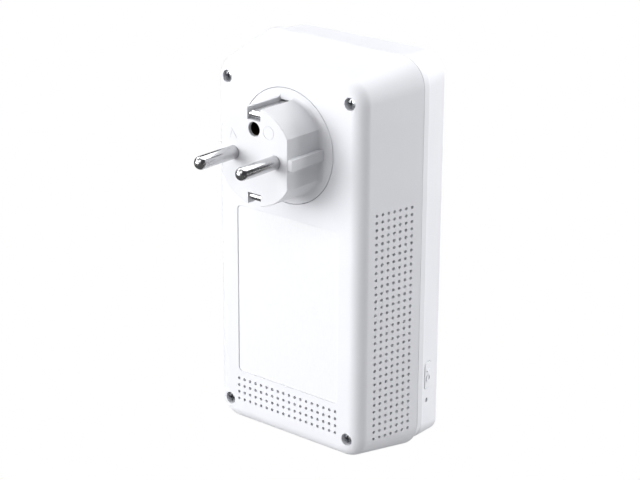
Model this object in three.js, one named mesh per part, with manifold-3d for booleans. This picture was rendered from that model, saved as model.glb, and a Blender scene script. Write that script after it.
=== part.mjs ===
// Powerline network adapter that hangs on a wall socket by its own earthed two-pin plug.
// Millimetres, +Z up. The pins point along +Y into the wall, the room is at -Y.
// The origin is the centre of the plug's end face, which lies in the plane y = 0.
import * as THREE from "three";
import { mergeVertices } from "three/addons/utils/BufferGeometryUtils.js";
import Module from "manifold-3d";

const wasm = await Module();
wasm.setup();

// ---------- driving dimensions ----------
const GAP = 0.3; // clearance between pieces that sit on each other
const WALL = 2.2; // wall thickness of both shells

// Case. Depth is measured from the back face towards the room.
const BACK_Y = -17.2; // plane of the back face
const CASE_DEPTH = 45.6;
const SEAM_DEPTH = 27.5; // where the two shells meet
const BAND_DEPTH = 30.2; // end of the straight band in front of the seam
const STEP_DEPTH = 31.8; // end of the small step behind which the front cover starts
const BACK_ROUNDING = 4.5;
const FRONT_ROUNDING = 2.6;
const BACK_OUTLINE = { half: 33.3, top: 27.1, bottom: -112.2, corner: 7.8, lowCorner: 7.8 };
const SEAM_OUTLINE = { half: 39.3, top: 32.6, bottom: -115.8, corner: 11, lowCorner: 10.6 };
const BAND_OUTLINE = { half: 39.3, top: 32.6, bottom: -115.6, corner: 11, lowCorner: 12.5 };
const STEP_OUTLINE = { half: 38.4, top: 31.8, bottom: -114.0, corner: 10.2, lowCorner: 7.3 };
const FRONT_OUTLINE = { half: 35.4, top: 31.3, bottom: -114.65, corner: 9, lowCorner: 4.6 };
const CORNER_STEPS = 5;

// Case screws, their wells in the back shell and posts in the front shell.
const SCREW_X = 28.2;
const SCREW_Z = [20.4, -104.9];
const WELL = { mouth: 2.3, floorY: -21.3, outer: 4.0, endY: -40.3, bore: 1.6 };
const SCREW = { head: 2.1, topY: -19.2, seatY: -21.0, shank: 1.25, tipY: -49.6 };
const POST = { radius: 3.6, startY: -40.6, pilot: 1.6, pilotY: -50.4 };

// Label recess and vents of the back face.
const LABEL = { half: 23.7, top: -27.0, bottom: -92.3, corner: 1.6, recess: 0.6, sheet: 0.2 };
const VENT = { columns: 18, rows: 4, pitch: 2.74, centreX: 0.4, topZ: -95.5, hole: 0.6 };

// Plug insert.
const PLUG = { radius: 17.7, flat: 15.15, rail: 17.0, railHalf: 2.0, railStartY: -0.25 };
const DISC = { radius: 21.0, hole: 21.3, flange: 23.2, flangeY: [-19.75, -21.7] };
const PIN = { radius: 2.4, x: 9.5, tipY: 19.0, endY: -23.2, tail: 1.1, tailY: -27.0 };
const EARTH_HOLE = { z: 10, mouth: 2.55, mouthY: -8.3, bore: 3.25, boreY: -16.5 };
const SLEEVE = { outer: 2.9, inner: 2.5, startY: -8.6, endY: -16.2 };
const EARTH = { slotHalf: 3.0, slotFloor: 15.2, notch: 13.2, notchY: -8.0 };
const STRAP = { half: 2.6, outer: 16.3, sheet: 0.8, bend: 1.4, bendY: -1.9, endY: -4.2, backY: -23.0 };

// Boards.
const POWER_BOARD = { half: 30, top: -26, bottom: -99.5, backY: -25.0, frontY: -26.6 };
const MAIN_BOARD = { half: 33, top: 14, bottom: -100.8, backY: -46.6, frontY: -48.2 };
const TONGUE = { half: 21, bottom: -111.3 }; // part of the main board that carries the jacks
const BOARD_POST = { radius: 2.6, pilot: 1.45 };
const MAIN_POSTS = [[-24, 6], [24, 6], [-24, -66], [24, -66]];
const POWER_POSTS = [[-25, -33], [25, -93]];

// Side button, reset and their switches, all on the -X side and pressed along +X.
const BUTTON = { y: -52.5, z: -88.5, halfY: 2.4, halfZ: 5.0, corner: 1.1, proud: 0.3 };
const RESET = { y: -52.1, z: -98.4, pinhole: 0.9 };
const SWITCH = { x: [-30.0, -26.5], y: [-55.4, -48.5], plunger: 1.0, bore: 1.35, boreX: -28.3 };

// Network jacks on the underside.
const JACK = { half: 8.0, x: 9.5, y: [-60.2, -48.6], z: [-113.7, -93.3], cavityZ: -100.3 };
const JACK_MOUTH = { half: 5.95, y: [-58.2, -50.2], latchHalf: 3.1, latchY: -59.4 };

// Status lights on the front.
const LIGHT = { x: [-8, 0, 8], z: -78, radius: 1.4, collar: 2.4 };

// ---------- materials ----------
function material(color, roughness, metalness) {
  return new THREE.MeshStandardMaterial({ color, roughness, metalness });
}
const WHITE_CASE = [0xf1f2f4, 0.5, 0];
const WHITE_PLUG = [0xeff0f2, 0.45, 0];
const NICKEL = [0xd4d6d8, 0.18, 1];
const STEEL = [0x5c5f63, 0.4, 1];
const BRASS = [0xb89a55, 0.35, 1];
const BOARD_GREEN = [0x1f5a36, 0.55, 0];
const BLACK_PLASTIC = [0x1b1c1e, 0.55, 0];
const CAN = [0xb9bcc0, 0.35, 1];

// ---------- solid helpers ----------
function solidOf(geometry) {
  const bare = geometry.clone();
  bare.deleteAttribute("normal");
  bare.deleteAttribute("uv");
  const merged = mergeVertices(bare, 1e-4);
  const mesh = new wasm.Mesh({
    numProp: 3,
    vertProperties: merged.attributes.position.array,
    triVerts: new Uint32Array(merged.index.array),
  });
  return new wasm.Manifold(mesh);
}

function geometryOf(solid) {
  const mesh = solid.getMesh();
  const geometry = new THREE.BufferGeometry();
  geometry.setAttribute("position", new THREE.BufferAttribute(mesh.vertProperties, 3));
  geometry.setIndex(new THREE.BufferAttribute(mesh.triVerts, 1));
  const flat = geometry.toNonIndexed();
  flat.computeVertexNormals();
  return flat;
}

const join = (first, ...rest) => rest.reduce((sum, piece) => sum.add(piece), first);
const cut = (first, ...rest) => rest.reduce((left, piece) => left.subtract(piece), first);

// Block between two limits on each axis.
function block(x0, x1, y0, y1, z0, z1) {
  const geometry = new THREE.BoxGeometry(x1 - x0, y1 - y0, z1 - z0);
  geometry.translate((x0 + x1) / 2, (y0 + y1) / 2, (z0 + z1) / 2);
  return solidOf(geometry);
}

// Round bar along Y through (x, z).
function barY(x, z, y0, y1, radius, sides = 20) {
  const geometry = new THREE.CylinderGeometry(radius, radius, Math.abs(y1 - y0), sides);
  geometry.translate(x, (y0 + y1) / 2, z);
  return solidOf(geometry);
}

// Round bar along X through (y, z).
function barX(y, z, x0, x1, radius, sides = 16) {
  const geometry = new THREE.CylinderGeometry(radius, radius, Math.abs(x1 - x0), sides);
  geometry.rotateZ(Math.PI / 2);
  geometry.translate((x0 + x1) / 2, y, z);
  return solidOf(geometry);
}

// Round bar along Z through (x, y).
function barZ(x, y, z0, z1, radius, sides = 16) {
  const geometry = new THREE.CylinderGeometry(radius, radius, Math.abs(z1 - z0), sides);
  geometry.rotateX(Math.PI / 2);
  geometry.translate(x, y, (z0 + z1) / 2);
  return solidOf(geometry);
}

function roundedRectangle(u0, u1, v0, v1, radius) {
  const shape = new THREE.Shape();
  shape.moveTo(u0 + radius, v0);
  shape.lineTo(u1 - radius, v0);
  shape.absarc(u1 - radius, v0 + radius, radius, -Math.PI / 2, 0);
  shape.absarc(u1 - radius, v1 - radius, radius, 0, Math.PI / 2);
  shape.absarc(u0 + radius, v1 - radius, radius, Math.PI / 2, Math.PI);
  shape.absarc(u0 + radius, v0 + radius, radius, Math.PI, Math.PI * 1.5);
  return shape;
}

function polygon(points) {
  return new THREE.Shape(points.map(([u, v]) => new THREE.Vector2(u, v)));
}

// Prism of a shape. Along "y" the shape lies in X-Z and grows from the start towards -Y,
// along "x" it lies in Y-Z and grows towards +X, along "z" it lies in X-Y and grows towards +Z.
function prism(shape, axis, start, length, curveSegments = 4) {
  const geometry = new THREE.ExtrudeGeometry(shape, {
    depth: length,
    bevelEnabled: false,
    curveSegments,
  });
  const x = new THREE.Vector3(1, 0, 0);
  const y = new THREE.Vector3(0, 1, 0);
  const z = new THREE.Vector3(0, 0, 1);
  const turn = new THREE.Matrix4();
  if (axis === "x") turn.makeBasis(y, z, x);
  if (axis === "y") turn.makeBasis(x, z, y.clone().negate());
  geometry.applyMatrix4(turn);
  const along = { x, y, z }[axis].clone().multiplyScalar(start);
  geometry.translate(along.x, along.y, along.z);
  return solidOf(geometry);
}

// Solid through rings of equal point count, given from the wall side towards the room.
function loft(rings) {
  const count = rings[0].length;
  const positions = [];
  const faces = [];
  for (const ring of rings) positions.push(...ring.flat());
  for (let level = 0; level < rings.length - 1; level++) {
    for (let i = 0; i < count; i++) {
      const next = (i + 1) % count;
      const a = level * count + i;
      const b = level * count + next;
      faces.push(a, b, b + count);
      faces.push(a, b + count, a + count);
    }
  }
  for (let i = 1; i < count - 1; i++) {
    const last = (rings.length - 1) * count;
    faces.push(0, i + 1, i);
    faces.push(last, last + i, last + i + 1);
  }
  const geometry = new THREE.BufferGeometry();
  geometry.setAttribute("position", new THREE.Float32BufferAttribute(positions, 3));
  geometry.setIndex(faces);
  return solidOf(geometry);
}

// Wire along a smooth curve through the points.
function wire(points, radius) {
  const curve = new THREE.CatmullRomCurve3(points.map((p) => new THREE.Vector3(...p)));
  const profile = new THREE.Shape();
  profile.absarc(0, 0, radius, 0, Math.PI * 2);
  const geometry = new THREE.ExtrudeGeometry(profile, {
    steps: 14,
    curveSegments: 4,
    extrudePath: curve,
  });
  return solidOf(geometry);
}

const group = new THREE.Group();
group.name = "powerline_adapter";

function piece(name, solid, look) {
  const mesh = new THREE.Mesh(geometryOf(solid), material(...look));
  mesh.name = name;
  group.add(mesh);
}

// ---------- case outline ----------
const mix = (a, b, t) => a + (b - a) * t;

function between(from, to, t) {
  const outline = {};
  for (const key of Object.keys(from)) outline[key] = mix(from[key], to[key], t);
  return outline;
}

// How far a rounded edge has drawn the wall in at a given distance from the face it runs into.
function roundingInset(distance, radius) {
  if (distance >= radius) return 0;
  const away = radius - distance;
  return radius - Math.sqrt(radius * radius - away * away);
}

// Outer outline of the closed case at a depth.
function caseOutline(depth) {
  if (depth <= SEAM_DEPTH) return between(BACK_OUTLINE, SEAM_OUTLINE, depth / SEAM_DEPTH);
  if (depth <= BAND_DEPTH) {
    return between(SEAM_OUTLINE, BAND_OUTLINE, (depth - SEAM_DEPTH) / (BAND_DEPTH - SEAM_DEPTH));
  }
  if (depth <= STEP_DEPTH) {
    return between(BAND_OUTLINE, STEP_OUTLINE, (depth - BAND_DEPTH) / (STEP_DEPTH - BAND_DEPTH));
  }
  return between(STEP_OUTLINE, FRONT_OUTLINE, (depth - STEP_DEPTH) / (CASE_DEPTH - STEP_DEPTH));
}

// Ring of points of the case outline at a depth, drawn in by the rounding and by an inset.
function caseRing(depth, inset = 0) {
  const outline = caseOutline(depth);
  const drawn =
    inset +
    roundingInset(depth, BACK_ROUNDING) +
    roundingInset(CASE_DEPTH - depth, FRONT_ROUNDING);
  const half = outline.half - drawn;
  const top = outline.top - drawn;
  const bottom = outline.bottom + drawn;
  const high = Math.max(outline.corner - drawn, 1);
  const low = Math.max(outline.lowCorner - drawn, 1);
  const corners = [
    [half - high, top - high, high],
    [high - half, top - high, high],
    [low - half, bottom + low, low],
    [half - low, bottom + low, low],
  ];
  const ring = [];
  corners.forEach(([x, z, radius], quarter) => {
    for (let step = 0; step <= CORNER_STEPS; step++) {
      const angle = ((quarter + step / CORNER_STEPS) * Math.PI) / 2;
      const px = x + radius * Math.cos(angle);
      const pz = z + radius * Math.sin(angle);
      ring.push([px, BACK_Y - depth, pz]);
    }
  });
  return ring;
}

const caseLoft = (depths, inset) => loft(depths.map((depth) => caseRing(depth, inset)));

// ---------- back shell ----------
const seamGap = GAP / 2;
const screwSpots = SCREW_Z.flatMap((z) => [[-SCREW_X, z], [SCREW_X, z]]);

function ventHoles() {
  const holes = [];
  for (let column = 0; column < VENT.columns; column++) {
    for (let row = 0; row < VENT.rows; row++) {
      const x = VENT.centreX + (column - (VENT.columns - 1) / 2) * VENT.pitch;
      const z = VENT.topZ - row * VENT.pitch;
      holes.push(barY(x, z, BACK_Y - WALL - 1, BACK_Y + 1, VENT.hole, 4));
    }
  }
  return holes;
}

function backShell() {
  const outer = caseLoft([0, 0.4, 1.3, 2.7, 4.5, SEAM_DEPTH - seamGap], 0);
  const inner = caseLoft([WALL, 3.2, 4.5, SEAM_DEPTH, SEAM_DEPTH + 1], WALL);
  const wells = screwSpots.map(([x, z]) => barY(x, z, BACK_Y - 1.8, WELL.endY, WELL.outer));
  const boardPosts = POWER_POSTS.map(([x, z]) =>
    barY(x, z, BACK_Y - 1.8, POWER_BOARD.backY + GAP, BOARD_POST.radius, 14),
  );
  const mouths = screwSpots.map(([x, z]) => barY(x, z, BACK_Y + 1, WELL.floorY, WELL.mouth));
  const bores = screwSpots.map(([x, z]) => barY(x, z, BACK_Y, WELL.endY - 1, WELL.bore, 12));
  const pilots = POWER_POSTS.map(([x, z]) => barY(x, z, BACK_Y - 2.8, -26, BOARD_POST.pilot, 10));
  const recess = prism(
    roundedRectangle(-LABEL.half, LABEL.half, LABEL.bottom, LABEL.top, LABEL.corner),
    "y",
    BACK_Y + 1,
    1 + LABEL.recess,
  );
  const plugHole = barY(0, 0, BACK_Y + 1, BACK_Y - WALL - 1, DISC.hole, 48);
  const hollow = cut(outer, inner);
  const filled = join(hollow, ...wells, ...boardPosts);
  return cut(filled, plugHole, recess, ...mouths, ...bores, ...pilots, ...ventHoles());
}

// ---------- front shell ----------
function lip() {
  const shelf = cut(
    caseLoft([SEAM_DEPTH + 0.6, SEAM_DEPTH + 2.0], 1.0),
    caseLoft([SEAM_DEPTH, SEAM_DEPTH + 3], WALL + 1.3),
  );
  const tongue = cut(
    caseLoft([SEAM_DEPTH - 2.6, SEAM_DEPTH, SEAM_DEPTH + 1.2], WALL + GAP),
    caseLoft([SEAM_DEPTH - 3, SEAM_DEPTH + 3], WALL + 1.3),
  );
  return join(shelf, tongue);
}

function buttonShape(grow) {
  return roundedRectangle(
    BUTTON.y - BUTTON.halfY - grow,
    BUTTON.y + BUTTON.halfY + grow,
    BUTTON.z - BUTTON.halfZ - grow,
    BUTTON.z + BUTTON.halfZ + grow,
    BUTTON.corner + grow,
  );
}

function frontShell() {
  const frontDepths = [CASE_DEPTH - 3, CASE_DEPTH - 1.5, CASE_DEPTH - 0.5, CASE_DEPTH];
  const outer = caseLoft(
    [SEAM_DEPTH + seamGap, BAND_DEPTH, STEP_DEPTH, ...frontDepths],
    0,
  );
  const inner = caseLoft(
    [SEAM_DEPTH - 1, BAND_DEPTH, STEP_DEPTH, CASE_DEPTH - 3, CASE_DEPTH - WALL],
    WALL,
  );
  const insideY = BACK_Y - CASE_DEPTH + 1.2;
  const posts = screwSpots.map(([x, z]) => barY(x, z, insideY, POST.startY, POST.radius));
  const boardPosts = MAIN_POSTS.map(([x, z]) =>
    barY(x, z, insideY, MAIN_BOARD.frontY - GAP, BOARD_POST.radius, 14),
  );
  const pilots = screwSpots.map(([x, z]) => barY(x, z, POST.startY + 1, POST.pilotY, POST.pilot, 12));
  const boardPilots = MAIN_POSTS.map(([x, z]) =>
    barY(x, z, MAIN_BOARD.frontY, MAIN_BOARD.frontY - 7, BOARD_POST.pilot, 10),
  );
  const lights = LIGHT.x.map((x) => barY(x, LIGHT.z, insideY + 3, -64, LIGHT.radius + GAP, 14));
  const jacks = [-JACK.x, JACK.x].map((x) =>
    block(
      x - JACK.half - GAP,
      x + JACK.half + GAP,
      JACK.y[0] - GAP,
      JACK.y[1] + GAP,
      -118,
      -111,
    ),
  );
  const buttonHole = prism(buttonShape(GAP), "x", -41, 7);
  const pinhole = barX(RESET.y, RESET.z, -41, -34, RESET.pinhole, 10);
  const filled = join(cut(outer, inner), lip(), ...posts, ...boardPosts);
  return cut(filled, ...pilots, ...boardPilots, ...lights, ...jacks, buttonHole, pinhole);
}

piece("back_shell", backShell(), WHITE_CASE);
piece("front_shell", frontShell(), WHITE_CASE);

// ---------- plug ----------
function pinSpots() {
  return [-PIN.x, PIN.x];
}

function plugBody() {
  const barrel = barY(0, 0, BACK_Y - 1, 0, PLUG.radius, 48);
  const flats = block(-PLUG.flat, PLUG.flat, BACK_Y - 2, 1, -20, 20);
  const rails = block(
    -PLUG.rail,
    PLUG.rail,
    BACK_Y - 1,
    PLUG.railStartY,
    -PLUG.railHalf,
    PLUG.railHalf,
  );
  const skirt = new THREE.CylinderGeometry(PLUG.radius, PLUG.radius + 1.2, 1.2, 48);
  skirt.translate(0, BACK_Y + 0.6, 0);
  const disc = barY(0, 0, BACK_Y - WALL, BACK_Y, DISC.radius, 48);
  const neck = barY(0, 0, DISC.flangeY[0] - 0.5, BACK_Y - 1, DISC.radius - 1, 48);
  const flange = barY(0, 0, DISC.flangeY[1], DISC.flangeY[0], DISC.flange, 48);
  const filled = join(barrel.intersect(flats), rails, solidOf(skirt), disc, neck, flange);
  const bores = pinSpots().map((x) => barY(x, 0, -24, 1, PIN.radius + GAP, 24));
  const earthMouth = barY(0, EARTH_HOLE.z, EARTH_HOLE.mouthY - 1, 1, EARTH_HOLE.mouth, 20);
  const earthBore = barY(0, EARTH_HOLE.z, EARTH_HOLE.boreY, EARTH_HOLE.mouthY, EARTH_HOLE.bore, 20);
  const slots = [1, -1].flatMap((side) => {
    const span = (a, b) => [Math.min(side * a, side * b), Math.max(side * a, side * b)];
    const half = EARTH.slotHalf;
    return [
      block(-half, half, BACK_Y, 1, ...span(EARTH.slotFloor, 20)),
      block(-half, half, EARTH.notchY, 1, ...span(EARTH.notch, 20)),
      block(-half, half, -24, BACK_Y + 1, ...span(EARTH.slotFloor, STRAP.outer + 0.4)),
    ];
  });
  return cut(filled, ...bores, earthMouth, earthBore, ...slots);
}

// Round pin with a domed tip and a thinner solder tail.
function plugPin(x) {
  const dome = PIN.tipY - PIN.radius;
  const profile = [[0, PIN.tailY], [PIN.tail, PIN.tailY], [PIN.tail, PIN.endY]];
  profile.push([PIN.radius, PIN.endY]);
  for (let step = 0; step <= 4; step++) {
    const angle = (step / 4) * (Math.PI / 2);
    const radius = step === 4 ? 0 : PIN.radius * Math.cos(angle);
    profile.push([radius, dome + PIN.radius * Math.sin(angle)]);
  }
  const points = profile.map(([r, y]) => new THREE.Vector2(r, y));
  const geometry = new THREE.LatheGeometry(points, 20);
  geometry.translate(x, 0, 0);
  return solidOf(geometry);
}

// One bent strip: a contact along the top slot, a bridge behind the plug, a contact below.
// Each contact's front end is bent round and back under itself.
function earthBracket() {
  const { half, outer, sheet, bend, bendY, endY, backY } = STRAP;
  const bendZ = outer - bend;
  const pieces = [block(-half, half, backY, backY + sheet, -outer, outer)];
  for (const side of [1, -1]) {
    const span = (a, b) => [Math.min(side * a, side * b), Math.max(side * a, side * b)];
    const nose = cut(
      barX(bendY, side * bendZ, -half, half, bend, 20),
      barX(bendY, side * bendZ, -half - 1, half + 1, bend - sheet, 20),
      block(-half - 1, half + 1, bendY - bend - 1, bendY - 0.1, ...span(bendZ - 2, bendZ + 2)),
    );
    pieces.push(nose);
    pieces.push(block(-half, half, backY, bendY, ...span(outer - sheet, outer)));
    pieces.push(block(-half, half, endY, bendY, ...span(bendZ - bend, bendZ - bend + sheet)));
  }
  return join(...pieces);
}

piece("plug_body", plugBody(), WHITE_PLUG);
piece("plug_pin_left", plugPin(-PIN.x), NICKEL);
piece("plug_pin_right", plugPin(PIN.x), NICKEL);
piece("earth_bracket", earthBracket(), NICKEL);
piece(
  "earth_sleeve",
  cut(
    barY(0, EARTH_HOLE.z, SLEEVE.endY, SLEEVE.startY, SLEEVE.outer, 20),
    barY(0, EARTH_HOLE.z, SLEEVE.endY - 1, SLEEVE.startY + 1, SLEEVE.inner, 20),
  ),
  BRASS,
);

// ---------- fasteners ----------
// Cross-head screw along Y: head at the end nearer the wall unless the tip is.
function screw(x, z, topY, seatY, tipY, headRadius, shankRadius) {
  const towardsTip = Math.sign(tipY - seatY);
  const head = barY(x, z, topY, seatY, headRadius, 16);
  const shank = barY(x, z, seatY - towardsTip * 0.5, tipY, shankRadius, 10);
  const slotY = topY + towardsTip * 0.9;
  const arm = headRadius * 0.55;
  const slotLimits = [Math.min(topY - towardsTip, slotY), Math.max(topY - towardsTip, slotY)];
  const across = block(x - arm, x + arm, ...slotLimits, z - 0.3, z + 0.3);
  const upright = block(x - 0.3, x + 0.3, ...slotLimits, z - arm, z + arm);
  return cut(join(head, shank), across, upright);
}

screwSpots.forEach(([x, z], i) => {
  const made = screw(x, z, SCREW.topY, SCREW.seatY, SCREW.tipY, SCREW.head, SCREW.shank);
  piece("case_screw_" + (i + 1), made, STEEL);
});
MAIN_POSTS.forEach(([x, z], i) => {
  const made = screw(x, z, -44.9, -46.3, -54.0, 2.3, 1.1);
  piece("main_board_screw_" + (i + 1), made, STEEL);
});
POWER_POSTS.forEach(([x, z], i) => {
  const made = screw(x, z, -28.3, -26.9, -20.6, 2.3, 1.1);
  piece("power_board_screw_" + (i + 1), made, STEEL);
});

// ---------- label ----------
piece(
  "rating_label",
  prism(
    roundedRectangle(
      -LABEL.half + 0.5,
      LABEL.half - 0.5,
      LABEL.bottom + 0.5,
      LABEL.top - 0.5,
      LABEL.corner,
    ),
    "y",
    BACK_Y - 0.15,
    LABEL.sheet,
  ),
  [0xf6f6f6, 0.6, 0],
);

// ---------- boards ----------
function mainBoard() {
  const outline = polygon([
    [-MAIN_BOARD.half, MAIN_BOARD.bottom],
    [-TONGUE.half, MAIN_BOARD.bottom],
    [-TONGUE.half, TONGUE.bottom],
    [TONGUE.half, TONGUE.bottom],
    [TONGUE.half, MAIN_BOARD.bottom],
    [MAIN_BOARD.half, MAIN_BOARD.bottom],
    [MAIN_BOARD.half, MAIN_BOARD.top],
    [-MAIN_BOARD.half, MAIN_BOARD.top],
  ]);
  const board = prism(outline, "y", MAIN_BOARD.backY, MAIN_BOARD.backY - MAIN_BOARD.frontY);
  const holes = MAIN_POSTS.map(([x, z]) => barY(x, z, -50, -45, 1.5, 12));
  return cut(board, ...holes);
}

function powerBoard() {
  const { half, top, bottom, backY, frontY } = POWER_BOARD;
  const board = block(-half, half, frontY, backY, bottom, top);
  const holes = POWER_POSTS.map(([x, z]) => barY(x, z, -28, -24, 1.5, 12));
  return cut(board, ...holes);
}

piece("main_board", mainBoard(), BOARD_GREEN);
piece("power_board", powerBoard(), BOARD_GREEN);

// ---------- power supply ----------
const powerTop = POWER_BOARD.frontY - GAP; // underside of whatever stands on the power board

// Ferrite frame with a middle leg, standing on the power board.
function transformerCore(x, z) {
  const frame = block(x - 11, x + 11, powerTop - 15, powerTop - 1, z - 7, z + 7);
  const windowLeft = block(x - 8, x - 3.2, powerTop - 12, powerTop - 4, z - 8, z + 8);
  const windowRight = block(x + 3.2, x + 8, powerTop - 12, powerTop - 4, z - 8, z + 8);
  return cut(frame, windowLeft, windowRight);
}

// Wound bobbin around the middle leg.
function transformerWinding(x, z) {
  const coil = block(x - 7.6, x + 7.6, powerTop - 11.6, powerTop - 4.4, z - 11, z + 11);
  const core = block(x - 12, x + 12, powerTop - 16, powerTop, z - 7 - GAP, z + 7 + GAP);
  const ends = cut(coil, core);
  const limbs = [-1, 1].map((side) => {
    const inner = side * 3.5;
    const outer = side * 7.6;
    const limits = [Math.min(inner, outer) + x, Math.max(inner, outer) + x];
    return block(...limits, powerTop - 11.6, powerTop - 4.4, z - 8, z + 8);
  });
  return join(ends, ...limbs);
}

function canCapacitor(x, z, radius, height) {
  const body = barY(x, z, powerTop - height, powerTop - 0.8, radius, 24);
  const foot = barY(x, z, powerTop - 1, powerTop, radius * 0.8, 24);
  return join(body, foot);
}

function toroid(x, z, radius, thickness) {
  const geometry = new THREE.TorusGeometry(radius, thickness, 8, 20);
  geometry.rotateX(Math.PI / 2);
  geometry.translate(x, powerTop - thickness, z);
  return solidOf(geometry);
}

function discOnEdge(x, z, radius, thickness) {
  const disc = barX(powerTop - radius - 1.5, z, x - thickness / 2, x + thickness / 2, radius, 20);
  const legs = block(x - 0.4, x + 0.4, powerTop - 3, powerTop, z - 2.5, z + 2.5);
  return join(disc, legs);
}

function fuse(x, z) {
  const tube = barZ(x, powerTop - 3, z - 5, z + 5, 2.2, 14);
  const legs = [-1, 1].map((side) => {
    const end = z + side * 4.4;
    return block(x - 0.4, x + 0.4, powerTop - 3, powerTop, end - 0.4, end + 0.4);
  });
  return join(tube, ...legs);
}

piece("transformer_core", transformerCore(6, -62), [0x3a3b3d, 0.7, 0]);
piece("transformer_winding", transformerWinding(6, -62), [0xd9b13b, 0.5, 0]);
piece("bulk_capacitor", canCapacitor(-20, -56, 7, 16.5), [0x22304a, 0.4, 0]);
piece("output_capacitor", canCapacitor(-8, -88, 5, 14), [0x23262b, 0.4, 0]);
piece("x_capacitor", block(-21, -3, powerTop - 12, powerTop, -45, -38), [0xd8a233, 0.45, 0]);
piece("line_choke", toroid(10, -40, 6.4, 3.0), [0xa4622c, 0.45, 0.3]);
piece("line_fuse", fuse(24, -50), [0xcfc8b4, 0.5, 0]);
piece("varistor", discOnEdge(-26, -42, 5, 3.6), [0x2c5f96, 0.5, 0]);
piece("bridge_rectifier", block(-25, -16, powerTop - 3, powerTop, -78, -70), BLACK_PLASTIC);
piece("coupling_transformer", block(8, 20, powerTop - 8, powerTop, -92, -82), [0x2a2b2d, 0.6, 0]);

// ---------- main board parts ----------
const mainFront = MAIN_BOARD.frontY - GAP;

// Folded metal can, open towards the board.
function shieldCan(x0, x1, z0, z1, height) {
  const outer = block(x0, x1, mainFront - height, mainFront, z0, z1);
  const inner = block(x0 + 0.4, x1 - 0.4, mainFront - height + 0.4, mainFront + 1, z0 + 0.4, z1 - 0.4);
  return cut(outer, inner);
}

piece("powerline_shield", shieldCan(-15, 13, -28, -4, 3.2), CAN);
piece("radio_shield", shieldCan(-12, 12, -60, -38, 3.0), CAN);
piece("network_chip", block(-6, 6, mainFront - 1.2, mainFront, -90, -82.5), BLACK_PLASTIC);
piece("heat_spreader", block(-18, 18, -45.9, -44.9, -72, -6), [0xc3c6ca, 0.4, 1]);
piece("insulation_sheet", block(-31, 31, -44.4, -44.0, -80, -27), [0xe8e6d8, 0.6, 0]);
piece("board_link", block(20, 27, MAIN_BOARD.backY + GAP, powerTop, -88, -84), BLACK_PLASTIC);

for (const [name, x] of [["antenna_left", -32.4], ["antenna_right", 31.6]]) {
  piece(name, block(x, x + 0.8, -57, mainFront, -24, 8), [0x23613c, 0.5, 0]);
}

LIGHT.x.forEach((x, i) => {
  const rod = barY(x, LIGHT.z, BACK_Y - CASE_DEPTH, mainFront - 1.3, LIGHT.radius, 14);
  const collar = barY(x, LIGHT.z, -60.2, -59.2, LIGHT.collar, 14);
  piece("light_pipe_" + (i + 1), join(rod, collar), [0xe9eef2, 0.2, 0]);
  const led = block(x - 0.8, x + 0.8, mainFront - 0.9, mainFront, LIGHT.z - 0.5, LIGHT.z + 0.5);
  piece("status_led_" + (i + 1), led, [0xf3f1dc, 0.3, 0]);
});

// ---------- network jacks ----------
function networkJack(x) {
  const shell = block(x - JACK.half, x + JACK.half, ...JACK.y, ...JACK.z);
  const mouth = block(
    x - JACK_MOUTH.half,
    x + JACK_MOUTH.half,
    ...JACK_MOUTH.y,
    JACK.z[0] - 1,
    JACK.cavityZ,
  );
  const latch = block(
    x - JACK_MOUTH.latchHalf,
    x + JACK_MOUTH.latchHalf,
    JACK_MOUTH.latchY,
    JACK_MOUTH.y[0] + 1,
    JACK.z[0] - 1,
    JACK.cavityZ,
  );
  return cut(shell, mouth, latch);
}

piece("network_jack_1", networkJack(-JACK.x), CAN);
piece("network_jack_2", networkJack(JACK.x), CAN);

// ---------- side button and reset ----------
function sideWallX(y) {
  return -caseOutline(BACK_Y - y).half;
}

function sideButton() {
  const y0 = BUTTON.y - BUTTON.halfY;
  const y1 = BUTTON.y + BUTTON.halfY;
  const slab = polygon([
    [sideWallX(y0) - BUTTON.proud, y0],
    [-33.4, y0],
    [-33.4, y1],
    [sideWallX(y1) - BUTTON.proud, y1],
  ]);
  const cap = prism(buttonShape(0), "x", -41, 8).intersect(
    prism(slab, "z", BUTTON.z - 8, 16),
  );
  const flange = prism(buttonShape(1.0), "x", -34.2, 1.0);
  const stem = barX(BUTTON.y, BUTTON.z, -33.5, -31.8, 1.3, 12);
  return join(cap, flange, stem);
}

function switchBody(y, z, halfZ) {
  const body = block(...SWITCH.x, ...SWITCH.y, z - halfZ, z + halfZ);
  return cut(body, barX(y, z, SWITCH.x[0] - 1, SWITCH.boreX, SWITCH.bore, 12));
}

piece("side_button", sideButton(), WHITE_CASE);
piece("side_switch_body", switchBody(BUTTON.y, BUTTON.z, 3), BLACK_PLASTIC);
piece(
  "side_switch_plunger",
  barX(BUTTON.y, BUTTON.z, -31.5, -29.2, SWITCH.plunger, 12),
  [0xd8dadc, 0.5, 0],
);
piece("reset_switch_body", switchBody(RESET.y, RESET.z, 2.4), BLACK_PLASTIC);
piece(
  "reset_plunger",
  barX(RESET.y, RESET.z, -33.4, -29.2, SWITCH.plunger, 12),
  [0xd8dadc, 0.5, 0],
);

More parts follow.
